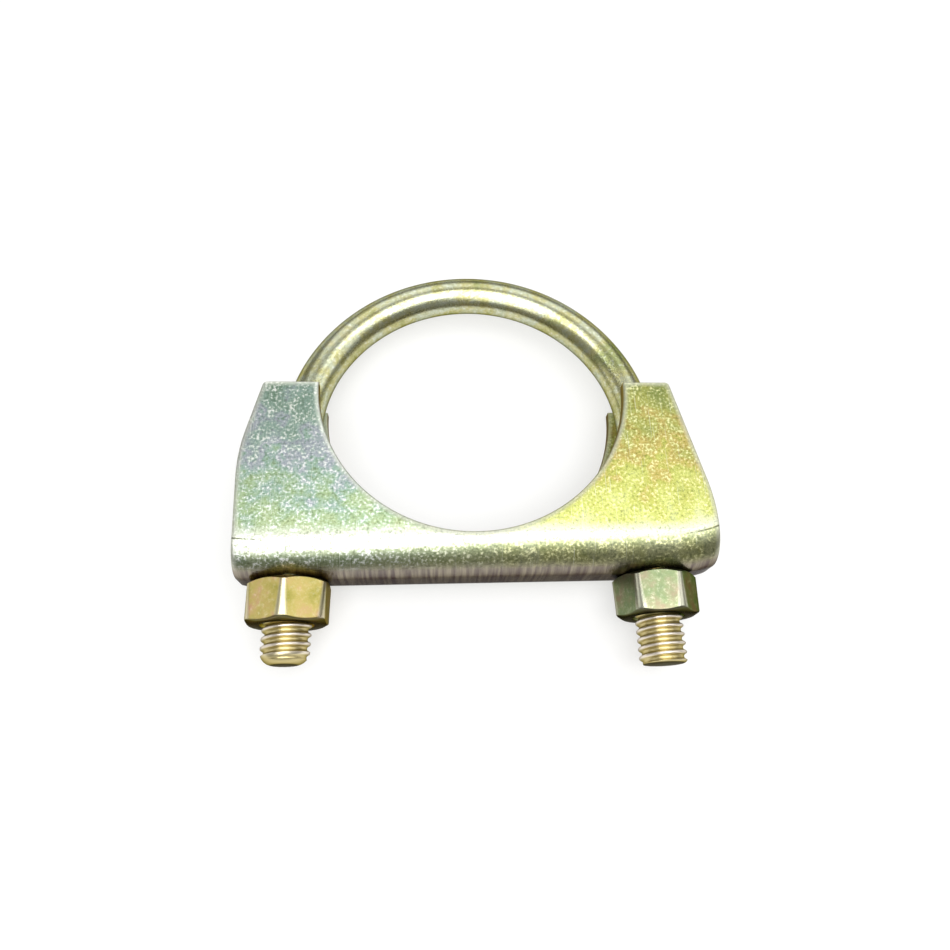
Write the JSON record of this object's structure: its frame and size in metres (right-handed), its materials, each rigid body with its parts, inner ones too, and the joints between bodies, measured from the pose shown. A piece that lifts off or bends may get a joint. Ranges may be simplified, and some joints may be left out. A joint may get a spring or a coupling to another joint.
{
  "type": "u-bolt clamp",
  "caption": "U-bolt clamp for an exhaust pipe: a round bar bent to a U, drawn by its nuts against a pressed channel saddle with a half-round seat.",
  "frame": {"origin": "centre of the half-round pipe seat, on the pipe's axis", "axes": "+Z along the pipe, +Y to the crown of the bolt, the nuts on the -Y side; the clamp lies on its rear flange, in the plane z = -8 mm"},
  "size_m": [0.081, 0.0747, 0.016],
  "materials": {
    "saddle_sheet": "yellow-passivated zinc plate over pressed sheet steel, mottled",
    "bolt_bar": "yellow-passivated zinc plate over drawn bar, glossy",
    "nut_steel": "yellow-passivated zinc plate over cold-formed steel"
  },
  "bodies": {
    "saddle": {"saddle": "saddle_sheet"},
    "u_bolt": {"u_bolt": "bolt_bar"},
    "nut_left": {"nut_left": "nut_steel"},
    "nut_right": {"nut_right": "nut_steel"}
  },
  "joints": [
    {"name": "nut_left_turn", "type": "hinge", "parent": "saddle", "child": "nut_left", "pos_m": [-0.03081, -0.0336, 0], "axis": [0, 1, 0], "range_deg": [-2300, 1790]},
    {"name": "nut_right_turn", "type": "hinge", "parent": "saddle", "child": "nut_right", "pos_m": [0.03081, -0.0336, 0], "axis": [0, 1, 0], "range_deg": [-2300, 1790]},
    {"name": "u_bolt_slide", "type": "slide", "parent": "saddle", "child": "u_bolt", "axis": [0, 1, 0], "range_m": [-0.007, 0.009]}
  ],
  "couplings": [
    {"joint": "nut_left_turn", "follows": "u_bolt_slide", "rad_per_m": -4452.6},
    {"joint": "nut_right_turn", "follows": "u_bolt_slide", "rad_per_m": -4452.6}
  ]
}
